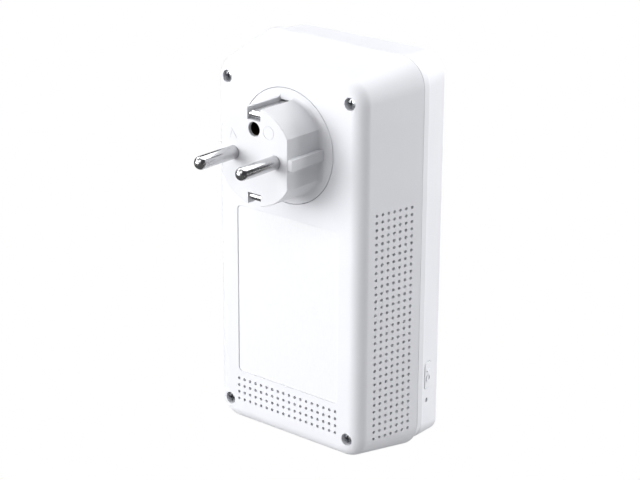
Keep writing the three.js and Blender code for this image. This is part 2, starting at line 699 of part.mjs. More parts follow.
// ---------- wires from the plug to the power board ----------
const WIRES = [
  ["live_wire", -PIN.x, [-15, -33], [0x7a4a2b, 0.5, 0]],
  ["neutral_wire", PIN.x, [18, -33], [0x2f5fa8, 0.5, 0]],
];
for (const [name, x, [endX, endZ], look] of WIRES) {
  const points = [
    [x, PIN.tailY - 0.5, 0.4],
    [x, PIN.tailY - 4, -3],
    [mix(x, endX, 0.5), PIN.tailY - 6, -16],
    [endX, PIN.tailY - 5, endZ + 3],
    [endX, powerTop - 0.5, endZ],
  ];
  piece(name, wire(points, 0.9), look);
}
piece(
  "earth_wire",
  wire(
    [
      [0, STRAP.backY - 1.2, -6],
      [0, STRAP.backY - 5, -12],
      [0, STRAP.backY - 8, -24],
      [0, powerTop - 2.5, -29],
      [0, powerTop - 0.5, -30.5],
    ],
    0.9,
  ),
  [0x6c8f2e, 0.5, 0],
);

export default group;
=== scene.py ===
"""Looks of a powerline network adapter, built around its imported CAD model."""

import math

import bmesh
import bpy
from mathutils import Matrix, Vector


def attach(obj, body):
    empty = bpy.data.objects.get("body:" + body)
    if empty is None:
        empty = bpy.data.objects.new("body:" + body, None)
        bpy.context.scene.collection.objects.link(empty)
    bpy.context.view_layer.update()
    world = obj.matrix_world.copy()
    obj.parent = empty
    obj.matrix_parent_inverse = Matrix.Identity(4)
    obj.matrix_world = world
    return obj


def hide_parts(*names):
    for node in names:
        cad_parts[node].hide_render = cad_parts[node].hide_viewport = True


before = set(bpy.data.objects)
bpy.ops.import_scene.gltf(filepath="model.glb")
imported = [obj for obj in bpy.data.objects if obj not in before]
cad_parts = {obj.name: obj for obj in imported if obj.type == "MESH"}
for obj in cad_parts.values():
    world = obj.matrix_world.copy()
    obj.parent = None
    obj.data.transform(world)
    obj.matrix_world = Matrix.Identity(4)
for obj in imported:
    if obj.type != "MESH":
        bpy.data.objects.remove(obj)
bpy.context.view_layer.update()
collection = bpy.context.scene.collection
MM = 0.001  # shapes are worked out in millimetres, in the CAD frame

# ---------- dimensions, those of the CAD source where no comment says otherwise ----------
GAP = 0.3
SEAM_GAP = 0.08  # the visible line of the seam, finer than the CAD's clearance
WALL = 2.2
BACK_Y = -17.2
CASE_DEPTH = 45.6
SEAM_DEPTH = 27.5
BAND_DEPTH = 30.2
STEP_DEPTH = 31.8
BACK_ROUNDING = 4.5
FRONT_ROUNDING = 2.6
BACK_OUTLINE = {"half": 33.3, "top": 27.1, "bottom": -112.2, "corner": 7.8, "low": 7.8}
SEAM_OUTLINE = {"half": 39.3, "top": 32.6, "bottom": -115.8, "corner": 11.0, "low": 10.6}
BAND_OUTLINE = {"half": 39.3, "top": 32.6, "bottom": -115.6, "corner": 11.0, "low": 12.5}
STEP_OUTLINE = {"half": 38.4, "top": 31.8, "bottom": -114.0, "corner": 10.2, "low": 7.3}
FRONT_OUTLINE = {"half": 35.4, "top": 31.3, "bottom": -114.65, "corner": 9.0, "low": 4.6}
FRONT_Y = BACK_Y - CASE_DEPTH
SCREW_SPOTS = [(x, z) for z in (20.4, -104.9) for x in (-28.2, 28.2)]
POWER_POSTS = [(-25, -33), (25, -93)]
MAIN_POSTS = [(-24, 6), (24, 6), (-24, -66), (24, -66)]
LABEL = {"half": 23.7, "top": -27.0, "bottom": -92.3, "corner": 1.6, "recess": 0.6}
PLUG_RADIUS = 17.7
PLUG_FLAT = 15.15
PLUG_EDGE = 0.45
PLUG_FILLET = 1.3
PIN_X = 9.5
PIN_RADIUS = 2.4
PIN_TIP = 19.0
RAIL = {"reach": 17.0, "half": 2.0, "start": -0.25}
EARTH_SLOT = {"half": 3.0, "floor": 15.2, "notch": 13.2, "notch_y": -8.0, "top": 20}
DISC_RADIUS = 21.0
DISC_HOLE = 21.3
BUTTON = {"y": -52.5, "z": -88.5, "half_y": 2.4, "half_z": 5.0, "corner": 1.1}
PINHOLE = {"y": -52.1, "z": -98.4, "radius": 0.9}
VENT_RADIUS = 0.62  # round holes; the CAD has four-sided ones in the back face and none at the sides
SIDE_VENTS = {"y": -32.45, "z": -62.7, "pitch_y": 2.6, "pitch_z": 2.66}
BACK_VENTS = {"x": 0.4, "z": -95.5, "pitch": 2.74, "columns": 18, "rows": 4}
WELL_FLOOR = -21.3
# The heads stand 1.1 mm higher than in the CAD.
SCREW = {"top": -18.1, "seat": -21.0, "tip": -49.6, "head": 2.1, "shank": 1.25}
EARTH_HOLE = {"z": 10, "mouth": 2.55, "bore": 3.25, "bore_y": -8.3, "end": -16.5}
JACK = {"x": 9.5, "half": 8.0, "y": (-60.2, -48.6), "z": (-113.7, -93.3), "cavity": -100.3}
JACK_MOUTH = {"half": 5.95, "y": (-58.2, -50.2), "latch": 3.1, "latch_y": -59.4}
LIGHT_X = (-8, 0, 8)
LIGHT_Z = -78

# ---------- studio ----------
FLOOR_Z = -0.11592
FLOOR_GLOW = 0.58
FLOOR_MIRRORED = 0.12
SKY_COLOUR = (0.9, 0.94, 1.0)
SKY_GLOW = 0.0
SKY_MIRRORED = 0.06
# Name, azimuth, elevation, power in watts, size and distance in metres: softboxes that light the
# object, then nearer lamps that are only there to be reflected.
LAMPS = [
    ("key", 35, 20, 10.7, 0.8),
    ("key_middle", 20, 0, 7.7, 0.8),
    ("key_low", 35, 0, 5.4, 0.8),
    ("wall_side", 10, 0, 2.2, 0.8),
    ("wall_side_high", -10, 45, 4.6, 0.8),
    ("room_side", 220, 10, 20.5, 0.9),
    ("room_side_high", 180, 65, 18.2, 1.2),
]
REFLECTED = [
    ("mirrored_above", 198, 41, 2.6, 0.5, 1.0),
    ("mirrored_low", 221, -16, 1.6, 0.55, 1.0),
    ("mirrored_right", 89, 46, 4.0, 0.65, 1.0),
    ("mirrored_below", 296, -40, 0.3, 0.25, 1.0),
]

# ---------- mesh helpers ----------


def new_piece(name, points, faces):
    """Closed mesh from points in millimetres, with its faces turned outwards."""
    mesh = bpy.data.meshes.new(name)
    mesh.from_pydata([[c * MM for c in p] for p in points], [], faces)
    shape = bmesh.new()
    shape.from_mesh(mesh)
    bmesh.ops.recalc_face_normals(shape, faces=shape.faces)
    shape.to_mesh(mesh)
    shape.free()
    piece = bpy.data.objects.new(name, mesh)
    collection.objects.link(piece)
    return piece


def loft_faces(rings, count, first=0):
    """Faces of a capped loft through rings of equal point count."""
    faces = []
    for level in range(rings - 1):
        for i in range(count):
            a = first + level * count + i
            b = first + level * count + (i + 1) % count
            faces.append((a, b, b + count, a + count))
    last = first + (rings - 1) * count
    faces.append(tuple(range(first + count - 1, first - 1, -1)))
    faces.append(tuple(range(last, last + count)))
    return faces


def loft(name, rings):
    """Solid through rings of points."""
    points = [p for ring in rings for p in ring]
    return new_piece(name, points, loft_faces(len(rings), len(rings[0])))


def placed(axis, centre, across, upwards, along):
    """Point from its offsets across an axis and its place along it."""
    u, v = centre
    return {
        "x": (along, u + across, v + upwards),
        "y": (u + across, along, v + upwards),
        "z": (u + across, v + upwards, along),
    }[axis]


def turned_rings(profile, axis, centre, sides):
    """Rings of a turned solid; profile holds (radius, place along the axis)."""
    turns = [2 * math.pi * i / sides for i in range(sides)]
    return [
        [placed(axis, centre, r * math.cos(a), r * math.sin(a), s) for a in turns]
        for r, s in profile
    ]


def turned(name, profile, axis="y", centre=(0, 0), sides=48):
    """Solid of revolution, with caps at both ends of its profile."""
    return loft(name, turned_rings(profile, axis, centre, sides))


def bars(name, spots, axis, start, end, radius, sides=12):
    """Many separate round bars in one mesh, each through its (u, v) spot."""
    points = []
    faces = []
    for spot in spots:
        first = len(points)
        rings = turned_rings([(radius, start), (radius, end)], axis, spot, sides)
        points += [p for ring in rings for p in ring]
        faces += loft_faces(2, sides, first)
    return new_piece(name, points, faces)


def rounded(u0, u1, v0, v1, high, steps=8, low=None):
    """Rounded rectangle as a list of (u, v), with one radius above and one below."""
    low = high if low is None else low
    corners = [
        (u1 - high, v1 - high, high),
        (u0 + high, v1 - high, high),
        (u0 + low, v0 + low, low),
        (u1 - low, v0 + low, low),
    ]
    outline = []
    for quarter, (u, v, radius) in enumerate(corners):
        for step in range(steps + 1):
            angle = (quarter + step / steps) * math.pi / 2
            outline.append((u + radius * math.cos(angle), v + radius * math.sin(angle)))
    return outline


def edge_levels(start, end, edge, steps=3):
    """(place, inset) pairs for a slab whose two end edges are rounded."""
    sign = 1 if end > start else -1
    turns = [math.pi / 2 * i / steps for i in range(steps + 1)]
    near = [(start + sign * edge * (1 - math.cos(t)), edge * (1 - math.sin(t))) for t in turns]
    far = [(end - sign * edge * (1 - math.cos(t)), edge * (1 - math.sin(t))) for t in turns]
    return near + far[::-1]


def slab(name, axis, u, v, along, radius=0.3, edge=0.15, steps=4):
    """Block with rounded corners and edges; u, v and along are its limits."""
    levels = edge_levels(*along, edge) if edge else [(along[0], 0), (along[1], 0)]
    rings = [
        [
            placed(axis, (0, 0), a, b, place)
            for a, b in rounded(
                u[0] + inset,
                u[1] - inset,
                v[0] + inset,
                v[1] - inset,
                max(radius - inset, 0.02),
                steps,
            )
        ]
        for place, inset in levels
    ]
    return loft(name, rings)


def box(name, x, y, z):
    """Plain block between its limits, for cutting."""
    corners = [(x[0], z[0]), (x[1], z[0]), (x[1], z[1]), (x[0], z[1])]
    return loft(name, [[(u, place, v) for u, v in corners] for place in y])


def swept(name, path, section):
    """Solid that carries a section of (sideways, outwards) points along a path in Y-Z."""
    rings = []
    for i, (y, z) in enumerate(path):
        before = path[max(i - 1, 0)]
        after = path[min(i + 1, len(path) - 1)]
        dy, dz = after[0] - before[0], after[1] - before[1]
        length = math.hypot(dy, dz)
        normal = (-dz / length, dy / length)
        rings.append([(x, y + normal[0] * out, z + normal[1] * out) for x, out in section])
    return loft(name, rings)


def combined(target, *steps):
    """Target after booleans in order, each an operation and the pieces it uses up."""
    for operation, tools in steps:
        for tool in tools:
            modifier = target.modifiers.new("boolean", "BOOLEAN")
            modifier.operation = operation
            modifier.object = tool
            modifier.solver = "MANIFOLD"
    graph = bpy.context.evaluated_depsgraph_get()
    mesh = bpy.data.meshes.new_from_object(target.evaluated_get(graph))
    target.modifiers.clear()
    target.data = mesh
    for _, tools in steps:
        for tool in tools:
            bpy.data.objects.remove(tool)
    return target


def smooth(piece, limit=32):
    """Smooth shading that keeps flat faces flat and edges over the limit sharp."""
    shape = bmesh.new()
    shape.from_mesh(piece.data)
    bmesh.ops.remove_doubles(shape, verts=shape.verts, dist=1e-7)
    for edge in shape.edges:
        edge.smooth = len(edge.link_faces) == 2 and edge.calc_face_angle(0) < math.radians(limit)
    for face in shape.faces:
        face.smooth = True
    shape.to_mesh(piece.data)
    shape.free()
    modifier = piece.modifiers.new("normals", "WEIGHTED_NORMAL")
    modifier.keep_sharp = True
    return piece


def on_body(piece, body, slot, *nodes, limit=32):
    """Rides on a body and stands for CAD nodes; the slot argument is not used."""
    smooth(piece, limit)
    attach(piece, body)
    if nodes:
        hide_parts(*nodes)
    return piece


# ---------- case ----------
CORNER_STEPS = 14


def mix(a, b, t):
    return {key: a[key] + (b[key] - a[key]) * t for key in a}


def case_outline(depth):
    """Outer outline of the closed case at a depth behind its back face."""
    if depth <= SEAM_DEPTH:
        return mix(BACK_OUTLINE, SEAM_OUTLINE, depth / SEAM_DEPTH)
    if depth <= BAND_DEPTH:
        return mix(SEAM_OUTLINE, BAND_OUTLINE, (depth - SEAM_DEPTH) / (BAND_DEPTH - SEAM_DEPTH))
    if depth <= STEP_DEPTH:
        t = (depth - BAND_DEPTH) / (STEP_DEPTH - BAND_DEPTH)
        return mix(BAND_OUTLINE, STEP_OUTLINE, t * t * (3 - 2 * t))
    return mix(STEP_OUTLINE, FRONT_OUTLINE, (depth - STEP_DEPTH) / (CASE_DEPTH - STEP_DEPTH))


def rounding_inset(distance, radius):
    """How far a rounded edge has drawn the wall in, at a distance from its face."""
    if distance >= radius:
        return 0
    away = radius - distance
    return radius - math.sqrt(radius * radius - away * away)


def case_ring(depth, inset=0):
    outline = case_outline(depth)
    drawn = (
        inset
        + rounding_inset(depth, BACK_ROUNDING)
        + rounding_inset(CASE_DEPTH - depth, FRONT_ROUNDING)
    )
    half = outline["half"] - drawn
    top = outline["top"] - drawn
    bottom = outline["bottom"] + drawn
    high = max(outline["corner"] - drawn, 1)
    low = max(outline["low"] - drawn, 1)
    ring = rounded(-half, half, bottom, top, high, CORNER_STEPS, low)
    return [(x, BACK_Y - depth, z) for x, z in ring]


def case_loft(name, levels):
    """Solid through case outlines, each level a (depth, inset) pair."""
    return loft(name, [case_ring(depth, inset) for depth, inset in levels])


def rounding_depths(radius, steps):
    """Depths that step evenly round a rounded edge, from its face inwards."""
    return [radius * (1 - math.cos(math.pi / 2 * i / steps)) for i in range(steps + 1)]


def seam_edge(depth, direction):
    """Levels of the small rounded edge where a shell ends at the seam."""
    return [
        (depth - direction * 0.14, 0),
        (depth - direction * 0.06, 0.015),
        (depth - direction * 0.015, 0.06),
        (depth, 0.14),
    ]


def flared(name, spots, mouth, floor, radius, flare, sides=32):
    """Cutters for round holes along Y that widen a little at their mouths."""
    sign = 1 if mouth > floor else -1
    profile = [
        (radius + flare, mouth + sign),
        (radius + flare, mouth),
        (radius + flare * 0.3, mouth - sign * flare * 0.3),
        (radius, mouth - sign * flare),
        (radius, floor),
    ]
    return [turned(name, profile, "y", spot, sides) for spot in spots]


def side_vents():
    """Spots (y, z) of one long side's grid of holes."""
    return [
        (
            SIDE_VENTS["y"] + column * SIDE_VENTS["pitch_y"],
            SIDE_VENTS["z"] + row * SIDE_VENTS["pitch_z"],
        )
        for column in range(-3, 4)
        for row in range(-16, 17)
    ]


def back_vents():
    """Spots (x, z) of the back face's grid of holes."""
    middle = (BACK_VENTS["columns"] - 1) / 2
    return [
        (
            BACK_VENTS["x"] + (column - middle) * BACK_VENTS["pitch"],
            BACK_VENTS["z"] - row * BACK_VENTS["pitch"],
        )
        for column in range(BACK_VENTS["columns"])
        for row in range(BACK_VENTS["rows"])
    ]


def label_recess():
    """Cutter for the label's shallow recess, wider at its mouth."""
    levels = [(BACK_Y + 1, 0.15), (BACK_Y, 0.15), (BACK_Y - 0.15, 0), (BACK_Y - LABEL["recess"], 0)]
    rings = []
    for y, grow in levels:
        outline = rounded(
            -LABEL["half"] - grow,
            LABEL["half"] + grow,
            LABEL["bottom"] - grow,
            LABEL["top"] + grow,
            LABEL["corner"] + grow,
        )
        rings.append([(x, y, z) for x, z in outline])
    return loft("recess", rings)


def back_shell():
    end = SEAM_DEPTH - SEAM_GAP / 2
    levels = [(depth, 0) for depth in rounding_depths(BACK_ROUNDING, 12)]
    levels += [(15.0, 0)] + seam_edge(end, 1)
    shell = case_loft("back_shell_skin", levels)
    inner = [(depth, WALL) for depth in (WALL, 2.6, 3.2, 4.0, 4.5, SEAM_DEPTH, SEAM_DEPTH + 1)]
    wells = bars("wells", SCREW_SPOTS, "y", BACK_Y - 1.8, -40.3, 4.0, 32)
    posts = bars("posts", POWER_POSTS, "y", BACK_Y - 1.8, -24.7, 2.6, 24)
    plug_hole = flared("plug_hole", [(0, 0)], BACK_Y, BACK_Y - 4, DISC_HOLE - 0.12, 0.15, sides=128)
    return combined(
        shell,
        ("DIFFERENCE", [case_loft("hollow", inner)]),
        ("UNION", [wells, posts]),
        ("DIFFERENCE", plug_hole),
        ("DIFFERENCE", [label_recess()]),
        ("DIFFERENCE", flared("mouths", SCREW_SPOTS, BACK_Y, WELL_FLOOR, 2.25, 0.2)),
        ("DIFFERENCE", [bars("bores", SCREW_SPOTS, "y", BACK_Y, -41.3, 1.6, 24)]),
        ("DIFFERENCE", [bars("pilots", POWER_POSTS, "y", BACK_Y - 2.8, -26, 1.45, 16)]),
        ("DIFFERENCE", [bars("back_vents", back_vents(), "y", BACK_Y + 1, -21.0, VENT_RADIUS)]),
        ("DIFFERENCE", [bars("left_vents", side_vents(), "x", -41.0, -32.35, VENT_RADIUS)]),
        ("DIFFERENCE", [bars("right_vents", side_vents(), "x", 32.35, 41.0, VENT_RADIUS)]),
    )


def lip():
    """Tongue of the front shell that centres it in the back shell."""
    shelf = case_loft("shelf", [(SEAM_DEPTH + 0.6, 1.0), (SEAM_DEPTH + 2.0, 1.0)])
    tongue = case_loft(
        "tongue",
        [
            (SEAM_DEPTH - 2.6, WALL + 0.6),
            (SEAM_DEPTH - 2.3, WALL + GAP),
            (SEAM_DEPTH, WALL + GAP),
            (SEAM_DEPTH + 1.2, WALL + GAP),
        ],
    )
    inside = case_loft("inside", [(SEAM_DEPTH - 3, WALL + 1.3), (SEAM_DEPTH + 3, WALL + 1.3)])
    return combined(shelf, ("UNION", [tongue]), ("DIFFERENCE", [inside]))


def button_outline(grow):
    return rounded(
        BUTTON["y"] - BUTTON["half_y"] - grow,
        BUTTON["y"] + BUTTON["half_y"] + grow,
        BUTTON["z"] - BUTTON["half_z"] - grow,
        BUTTON["z"] + BUTTON["half_z"] + grow,
        BUTTON["corner"] + grow,
    )


def front_shell():
    start = SEAM_DEPTH + SEAM_GAP / 2
    levels = seam_edge(start, -1)[::-1] + [(BAND_DEPTH, 0)]
    levels += [(BAND_DEPTH + (STEP_DEPTH - BAND_DEPTH) * i / 8, 0) for i in range(1, 9)]
    levels += [(38.0, 0)]
    levels += [(CASE_DEPTH - depth, 0) for depth in rounding_depths(FRONT_ROUNDING, 9)[::-1]]
    shell = case_loft("front_shell_skin", levels)
    inner = [SEAM_DEPTH - 1, SEAM_DEPTH, BAND_DEPTH, STEP_DEPTH, CASE_DEPTH - 3, CASE_DEPTH - WALL]
    inside_y = FRONT_Y + 1.2
    posts = bars("posts", SCREW_SPOTS, "y", inside_y, -40.6, 3.6, 32)
    board_posts = bars("board_posts", MAIN_POSTS, "y", inside_y, -48.5, 2.6, 24)
    lights = [(x, LIGHT_Z) for x in LIGHT_X]
    jack_holes = [
        slab("jack_hole", "z", (x - 8.3, x + 8.3), (-60.5, -48.3), (-118, -111), 0.5, 0)
        for x in (-JACK["x"], JACK["x"])
    ]
    hole = [[(x, y, z) for y, z in button_outline(0.22)] for x in (-41, -34)]
    pinhole = [(PINHOLE["y"], PINHOLE["z"])]
    return combined(
        shell,
        ("DIFFERENCE", [case_loft("hollow", [(depth, WALL) for depth in inner])]),
        ("UNION", [lip(), posts, board_posts]),
        ("DIFFERENCE", [bars("pilots", SCREW_SPOTS, "y", -39, -50.4, 1.6, 24)]),
        ("DIFFERENCE", [bars("board_pilots", MAIN_POSTS, "y", -48, -55.2, 1.45, 16)]),
        ("DIFFERENCE", flared("light_holes", lights, FRONT_Y, -58, 1.5, 0.15)),
        ("DIFFERENCE", jack_holes),
        ("DIFFERENCE", [loft("button_hole", hole)]),
        ("DIFFERENCE", [bars("pinhole", pinhole, "x", -41, -34, PINHOLE["radius"], 24)]),
    )


# ---------- plug ----------
def barrel_ring(y, grow):
    """Outline of the plug's barrel: a circle with a flat on each side."""
    steps = 40
    radius = PLUG_RADIUS + grow
    start = math.acos((PLUG_FLAT + grow) / radius)
    arc = [start + (math.pi - 2 * start) * i / steps for i in range(steps + 1)]
    turns = arc + [a + math.pi for a in arc]
    return [(radius * math.cos(a), y, radius * math.sin(a)) for a in turns]


def both_ways(limits, side):
    """Limits along Z for the top of the plug, or mirrored for its underside."""
    return tuple(sorted(side * limit for limit in limits))


def plug_mark_ring():
    """Generic raised ring on the plug's end face."""
    spot = (-6.5, 9.9)
    ring = turned("plug_mark_ring", [(2.5, -0.3), (2.5, 0.06), (2.44, 0.12)], "y", spot, 48)
    hole = turned("plug_mark_hole", [(2.2, -1), (2.2, 1)], "y", spot, 48)
    return combined(ring, ("DIFFERENCE", [hole]))


def plug_mark_triangle():
    """Generic raised triangle on the plug's end face."""
    outer = [(10.4, 8.6), (11.6, 4.6), (7.9, 5.3)]
    middle = [sum(c) / 3 for c in zip(*outer)]

    def triangle(name, scale, start, end):
        corners = [[m + (c - m) * scale for c, m in zip(corner, middle)] for corner in outer]
        return loft(name, [[(x, y, z) for x, z in corners] for y in (start, end)])

    solid = triangle("plug_mark_triangle", 1, -0.3, 0.12)
    return combined(solid, ("DIFFERENCE", [triangle("plug_mark_inside", 0.66, -1, 1)]))


def plug_body():
    levels = [(BACK_Y - 1, PLUG_FILLET)]
    levels += [
        (BACK_Y + PLUG_FILLET * (1 - math.cos(t)), PLUG_FILLET * (1 - math.sin(t)))
        for t in [math.pi / 2 * i / 8 for i in range(9)]
    ]
    levels += [
        (-PLUG_EDGE * (1 - math.sin(t)), -PLUG_EDGE * (1 - math.cos(t)))
        for t in [math.pi / 2 * i / 5 for i in range(6)]
    ]
    barrel = loft("plug_moulding", [barrel_ring(y, grow) for y, grow in levels])
    disc = turned(
        "disc",
        [
            (DISC_RADIUS, BACK_Y - WALL),
            (DISC_RADIUS, BACK_Y - 0.2),
            (DISC_RADIUS - 0.06, BACK_Y - 0.06),
            (DISC_RADIUS - 0.2, BACK_Y),
        ],
        sides=128,
    )
    neck = turned("neck", [(20, -20.25), (20, BACK_Y - 1)], sides=96)
    flange = turned("flange", [(23.2, -21.7), (23.2, -19.75)], sides=96)
    reach, half = RAIL["reach"], RAIL["half"]
    along = (BACK_Y - 1, RAIL["start"])
    rails = slab("rails", "y", (-reach, reach), (-half, half), along, 0.25, 0.2)
    earth_spot = [(0, EARTH_HOLE["z"])]
    bore = (EARTH_HOLE["end"], EARTH_HOLE["bore_y"], EARTH_HOLE["bore"])
    cuts = [bars("pin_bores", [(-PIN_X, 0), (PIN_X, 0)], "y", -24, 1, 2.45, 48)]
    cuts += flared("earth_mouth", earth_spot, 0, -9.3, EARTH_HOLE["mouth"], 0.25, sides=48)
    cuts.append(bars("earth_bore", earth_spot, "y", *bore, 48))
    width = (-EARTH_SLOT["half"], EARTH_SLOT["half"])
    floor_z, notch_z, top_z = EARTH_SLOT["floor"], EARTH_SLOT["notch"], EARTH_SLOT["top"]
    for side in (1, -1):
        slot_z = both_ways((floor_z, top_z), side)
        cuts.append(box("slot", width, (BACK_Y, 1), slot_z))
        cuts.append(box("notch", width, (EARTH_SLOT["notch_y"], 1), both_ways((notch_z, top_z), side)))
        cuts.append(box("passage", width, (-24, BACK_Y + 1), both_ways((floor_z, 16.7), side)))
    marks = [plug_mark_ring(), plug_mark_triangle()]
    return combined(
        barrel, ("UNION", [rails, disc, neck, flange]), ("DIFFERENCE", cuts), ("UNION", marks)
    )


def plug_pin(name, x):
    profile = [(1.0, -27.0), (1.1, -26.9), (1.1, -23.2), (2.2, -23.2), (PIN_RADIUS, -23.0)]
    profile += [(PIN_RADIUS, -10.0), (PIN_RADIUS, 4.0)]
    middle = PIN_TIP - PIN_RADIUS
    steps = 16
    for i in range(steps):
        angle = math.pi / 2 * i / steps
        profile.append((PIN_RADIUS * math.cos(angle), middle + PIN_RADIUS * math.sin(angle)))
    profile.append((0.02, PIN_TIP))
    return turned(name, profile, "y", (x, 0), 64)


def earth_sleeve():
    """Drawn socket tube in the earth hole: a slim neck near the mouth, which the CAD leaves out."""
    outside = [(2.3, -16.2), (2.9, -16.2), (2.9, -8.7), (2.5, -8.4), (2.5, -1.3), (2.42, -1.15)]
    inside = [(2.0, -18), (2.3, -15.9), (2.3, -1.5), (2.36, 0)]
    centre = (0, EARTH_HOLE["z"])
    return combined(
        turned("earth_sleeve_drawn", outside, centre=centre),
        ("DIFFERENCE", [turned("sleeve_bore", inside, centre=centre)]),
    )


def arc(centre, radius, start, end, steps=6):
    """Points of an arc in Y-Z; angles in degrees, from +Y towards +Z."""
    turns = [math.radians(start + (end - start) * i / steps) for i in range(steps + 1)]
    return [(centre[0] + radius * math.cos(a), centre[1] + radius * math.sin(a)) for a in turns]


def earth_bracket():
    """One bent strip: a contact in each slot, turned under at its end, and the bridge between."""
    thick = 0.4
    top = 15.9
    back = -22.6
    upper = [(-4.2, top - 2.0), (-3.0, top - 2.0), *arc((-1.9, top - 1.0), 1.0, -90, 90, 16)]
    upper += [(-8.0, top), (-14.0, top)]
    upper += arc((back + 1.0, top - 1.0), 1.0, 90, 180)
    lower = [(y, -z) for y, z in upper[::-1]]
    section = rounded(-2.6, 2.6, -thick, thick, 0.12, 2)
    return swept("earth_contact_strip", upper + lower, section)


# ---------- fasteners ----------
def screw(name, spot):
    """Cross-head case screw along Y with a domed head."""
    top, seat, tip = SCREW["top"], SCREW["seat"], SCREW["tip"]
    head, shank = SCREW["head"], SCREW["shank"]
    core = shank * 0.78
    dome = [(0.02, top), (head * 0.45, top - 0.05), (head * 0.8, top - 0.22)]
    dome += [(head * 0.96, top - 0.45), (head, top - 0.75), (head, seat)]
    thread = [(shank, seat)]
    place = seat - 0.8
    while place - tip > 1.2:
        thread += [(shank, place), (core, place - 0.3), (core, place - 0.5), (shank, place - 0.8)]
        place -= 0.9
    thread += [(shank * 0.7, tip + 0.4), (0.1, tip)]
    made = turned(name, dome + thread, "y", spot, 32)
    x, z = spot
    arm = head * 0.62
    width = head * 0.17
    depth = (top - 1.3, top + 0.5)
    cross = [
        box("across", (x - arm, x + arm), depth, (z - width, z + width)),
        box("upright", (x - width, x + width), depth, (z - arm, z + arm)),
    ]
    return combined(made, ("DIFFERENCE", cross))


# ---------- button, lights and jacks ----------
def side_wall_x(y):
    return -case_outline(BACK_Y - y)["half"]


def button_level(inset, lift):
    """Outline of the button's cap, lying on the sloped side wall."""
    outline = rounded(
        BUTTON["y"] - BUTTON["half_y"] + inset,
        BUTTON["y"] + BUTTON["half_y"] - inset,
        BUTTON["z"] - BUTTON["half_z"] + inset,
        BUTTON["z"] + BUTTON["half_z"] - inset,
        BUTTON["corner"] - inset,
    )
    return [(side_wall_x(y) - lift, y, z) for y, z in outline]


def side_button():
    cap = [[(-33.4, y, z) for y, z in button_outline(0)]]
    cap += [button_level(0, -0.1), button_level(0.04, 0.1)]
    cap += [button_level(0.14, 0.24), button_level(0.35, 0.3)]
    flange = [[(x, y, z) for y, z in button_outline(1.0)] for x in (-34.2, -33.2)]
    stem = turned("stem", [(1.3, -33.5), (1.3, -31.8)], "x", (BUTTON["y"], BUTTON["z"]), 24)
    return combined(loft("side_button_cap", cap), ("UNION", [loft("flange", flange), stem]))


def button_icon():
    """Generic raised mark on the button: a short bar above a ring."""
    y, z = BUTTON["y"], BUTTON["z"]
    lift = 0.62
    bar = [
        [(side_wall_x(v) - out, v, w) for v, w in rounded(y - 1.1, y + 1.1, z + 1.6, z + 2.3, 0.3, 4)]
        for out in (0.1, lift)
    ]
    made = loft("button_mark", bar)
    turns = [2 * math.pi * i / 32 for i in range(32)]
    ring = []
    for radius, out in ((1.5, 0.1), (1.5, lift)):
        ring.append([])
        for a in turns:
            v = y + radius * math.cos(a)
            ring[-1].append((side_wall_x(v) - out, v, z - 1.0 + radius * math.sin(a)))
    hole = []
    for out in (-0.5, 1.0):
        hole.append([])
        for a in turns:
            v = y + 0.95 * math.cos(a)
            hole[-1].append((side_wall_x(v) - out, v, z - 1.0 + 0.95 * math.sin(a)))
    circle = combined(loft("mark_ring", ring), ("DIFFERENCE", [loft("mark_hole", hole)]))
    return combined(made, ("UNION", [circle]))


def blank_label():
    """Thin label that fills the recess from wall to wall."""
    half = LABEL["half"] - 0.03
    limits = (-half, half), (LABEL["bottom"] + 0.03, LABEL["top"] - 0.03)
    front = BACK_Y - LABEL["recess"] + 0.25
    return slab("blank_label", "y", *limits, (front - 0.2, front), LABEL["corner"], 0.04, 6)


def light_pipe(name, x):
    """Clear rod from the front face to its light, with a collar behind the wall."""
    profile = [(0.9, FRONT_Y), (1.25, FRONT_Y + 0.06), (1.4, FRONT_Y + 0.25), (1.4, -60.2)]
    profile += [(2.4, -60.2), (2.4, -59.2), (1.4, -59.2), (1.4, -49.7), (1.3, -49.5)]
    return turned(name, profile, "y", (x, LIGHT_Z), 40)


def jack_shell(name, x):
    """Folded metal shell of a network jack, open below."""
    half = JACK["half"]
    shell = slab(name, "z", (x - half, x + half), JACK["y"], JACK["z"], 0.35, 0.2)
    reach = (JACK["z"][0] - 1, JACK["cavity"])
    inside = JACK_MOUTH["half"]
    latch = JACK_MOUTH["latch"]
    low, high = JACK_MOUTH["y"]
    cuts = [
        slab("mouth", "z", (x - inside, x + inside), (low, high), reach, 0.2, 0),
        slab("latch", "z", (x - latch, x + latch), (JACK_MOUTH["latch_y"], low + 1), reach, 0.2, 0),
    ]
    return combined(shell, *[("DIFFERENCE", [cut]) for cut in cuts])


def contact_places(x):
    """Where a jack's eight contacts lie across it."""
    return [x + (i - 3.5) * 1.02 for i in range(8)]


def jack_insert(name, x):
    """Black moulding inside a jack: its back, its sides and the comb that guides the contacts."""
    inside = JACK_MOUTH["half"] - 0.05
    across = (x - inside, x + inside)
    low, high = JACK_MOUTH["y"]
    deep = (low + 0.05, high - 0.05)
    back_z = JACK["cavity"] - 0.05
    mouth_z = JACK["z"][0] + 0.6
    back = slab(name, "z", across, deep, (back_z - 1.5, back_z))
    comb = slab("comb", "z", across, (high - 0.55, high - 0.05), (mouth_z, back_z), 0.1)
    sides = [
        slab("side", "z", sorted((x + s * inside, x + s * (inside - 0.35))), deep, (mouth_z, back_z), 0.1)
        for s in (-1, 1)
    ]
    grooves = [
        box("groove", (middle - 0.28, middle + 0.28), (high - 0.8, high - 0.3),
            (mouth_z + 0.8, back_z - 1.4))
        for middle in contact_places(x)
    ]
    made = combined(back, ("UNION", [comb]), ("UNION", [sides[0]]), ("UNION", [sides[1]]))
    return combined(made, ("DIFFERENCE", grooves))


